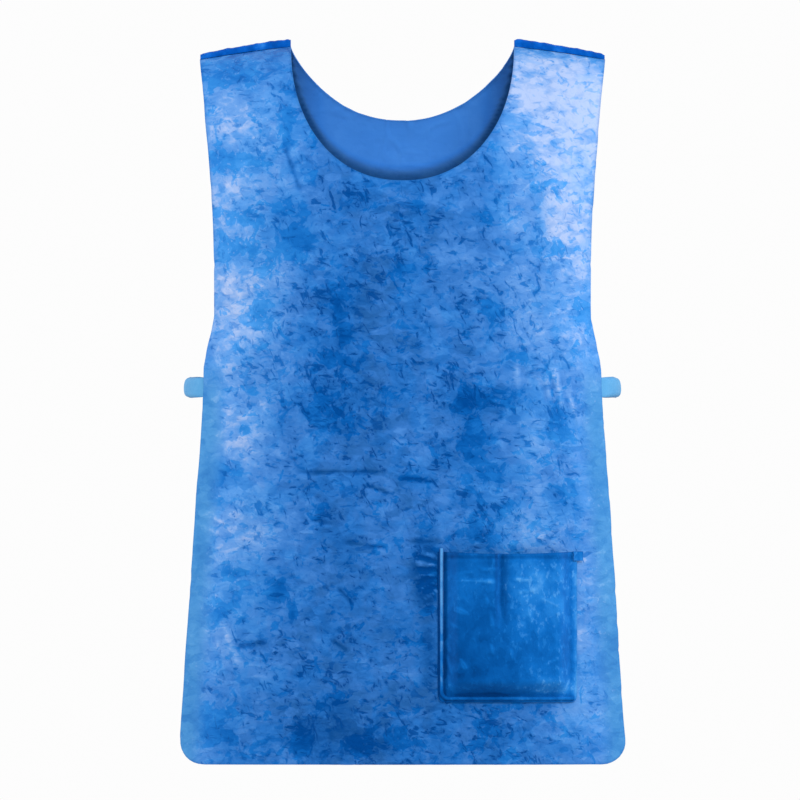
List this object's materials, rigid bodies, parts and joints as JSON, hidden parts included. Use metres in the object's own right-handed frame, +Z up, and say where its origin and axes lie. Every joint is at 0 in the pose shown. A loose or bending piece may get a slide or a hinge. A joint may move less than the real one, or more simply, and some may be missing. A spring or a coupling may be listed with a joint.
{
  "type": "cooling vest",
  "caption": "Pullover evaporative cooling vest of damp sponge cloth: front and back panels joined by rolled shoulder seams and slack side straps, with a patch pocket low on one side.",
  "frame": {"origin": "midway between the neck ends of the two shoulders, level with the underside of the cloth, where the vest sits on its wearer's shoulders", "axes": "+Z up; the wearer faces -Y, so the front panel is on the -Y side; +X is the wearer's left, where the pocket is"},
  "size_m": [0.4291, 0.2387, 0.7003],
  "materials": {
    "front_cloth": "damp mottled sponge cloth",
    "back_cloth": "damp mottled sponge cloth",
    "seam_cloth": "rolled sponge cloth",
    "strap_cloth": "plain sponge cloth",
    "pocket_cloth": "wet sponge cloth",
    "pocket_trim": "wet sponge cloth"
  },
  "bodies": {
    "root": {"front_panel": "front_cloth", "back_panel": "back_cloth", "shoulder_seam_left": "seam_cloth", "shoulder_seam_right": "seam_cloth", "side_strap_left": "strap_cloth", "side_strap_right": "strap_cloth", "pocket": "pocket_cloth", "pocket_binding": "pocket_trim", "pocket_tack": "pocket_trim"}
  },
  "joints": []
}
